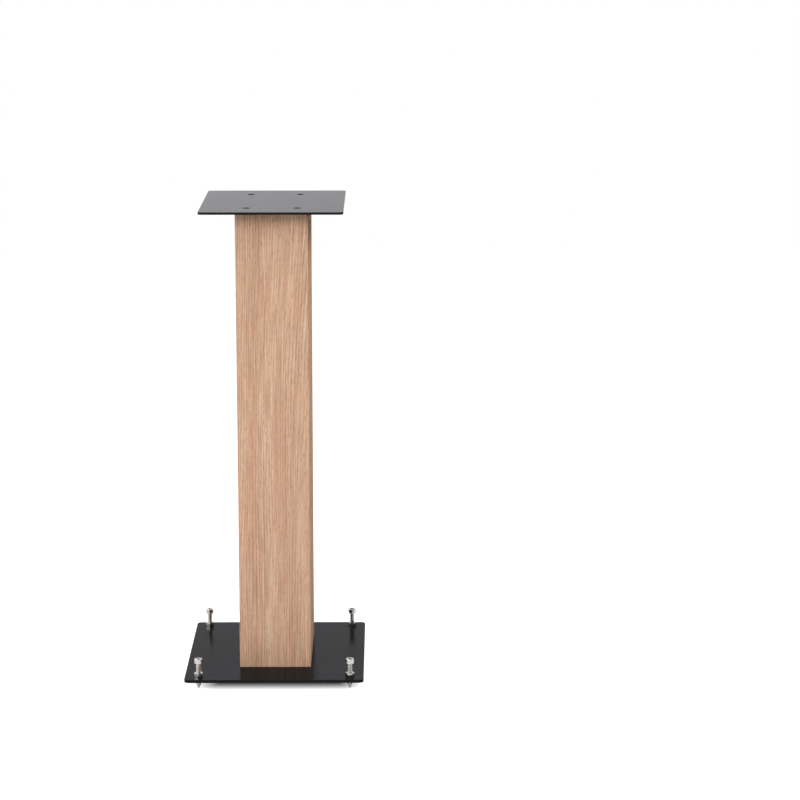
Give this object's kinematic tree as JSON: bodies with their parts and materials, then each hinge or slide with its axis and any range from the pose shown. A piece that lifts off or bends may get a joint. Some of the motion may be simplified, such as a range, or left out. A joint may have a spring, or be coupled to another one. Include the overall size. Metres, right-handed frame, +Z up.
{
  "type": "speaker stand",
  "caption": "Loudspeaker stand: a box column in oak veneer between a black steel top plate and a wider black steel base plate on levelling screws.",
  "frame": {"origin": "on the floor under the middle of the base plate, with the levelling screws' points at z = 0", "axes": "+Z up, -Y to the front of the stand, +X to its right as seen from the front"},
  "size_m": [0.225, 0.26, 0.6],
  "materials": {
    "powder_coated_steel": "black powder coat, fine satin",
    "oak_veneer": "straight-grained light oak veneer under satin lacquer",
    "mdf": "raw medium-density fibreboard",
    "zinc_alloy": "die-cast zinc",
    "black_oxide_steel": "black oxide",
    "nickel_plated_steel": "bright nickel plate"
  },
  "bodies": {
    "stand": {"base_plate": "powder_coated_steel", "top_plate": "powder_coated_steel", "front_veneer": "oak_veneer", "rear_veneer": "oak_veneer", "left_veneer": "oak_veneer", "right_veneer": "oak_veneer", "front_panel": "mdf", "rear_panel": "mdf", "left_panel": "mdf", "right_panel": "mdf", "bottom_end_board": "mdf", "mid_brace": "mdf", "top_end_board": "mdf", "top_inserts": "zinc_alloy", "bottom_inserts": "zinc_alloy", "top_plate_screws": "black_oxide_steel", "base_plate_screws": "black_oxide_steel"},
    "foot_fl": {"levelling_screw_fl": "nickel_plated_steel"},
    "nut_fl": {"lock_nut_fl": "nickel_plated_steel"},
    "foot_fr": {"levelling_screw_fr": "nickel_plated_steel"},
    "nut_fr": {"lock_nut_fr": "nickel_plated_steel"},
    "foot_rl": {"levelling_screw_rl": "nickel_plated_steel"},
    "nut_rl": {"lock_nut_rl": "nickel_plated_steel"},
    "foot_rr": {"levelling_screw_rr": "nickel_plated_steel"},
    "nut_rr": {"lock_nut_rr": "nickel_plated_steel"}
  },
  "joints": [
    {"name": "level_fl", "type": "slide", "parent": "stand", "child": "foot_fl", "axis": [0, 0, -1], "range_m": [-0.009, 0.011]},
    {"name": "lock_fl", "type": "hinge", "parent": "stand", "child": "nut_fl", "pos_m": [-0.095, -0.114, 0.0175], "axis": [0, 0, 1], "range_deg": [0, 90]},
    {"name": "level_fr", "type": "slide", "parent": "stand", "child": "foot_fr", "axis": [0, 0, -1], "range_m": [-0.009, 0.011]},
    {"name": "lock_fr", "type": "hinge", "parent": "stand", "child": "nut_fr", "pos_m": [0.095, -0.114, 0.0175], "axis": [0, 0, 1], "range_deg": [0, 90]},
    {"name": "level_rl", "type": "slide", "parent": "stand", "child": "foot_rl", "axis": [0, 0, -1], "range_m": [-0.009, 0.011]},
    {"name": "lock_rl", "type": "hinge", "parent": "stand", "child": "nut_rl", "pos_m": [-0.095, 0.114, 0.0175], "axis": [0, 0, 1], "range_deg": [0, 90]},
    {"name": "level_rr", "type": "slide", "parent": "stand", "child": "foot_rr", "axis": [0, 0, -1], "range_m": [-0.009, 0.011]},
    {"name": "lock_rr", "type": "hinge", "parent": "stand", "child": "nut_rr", "pos_m": [0.095, 0.114, 0.0175], "axis": [0, 0, 1], "range_deg": [0, 90]}
  ]
}
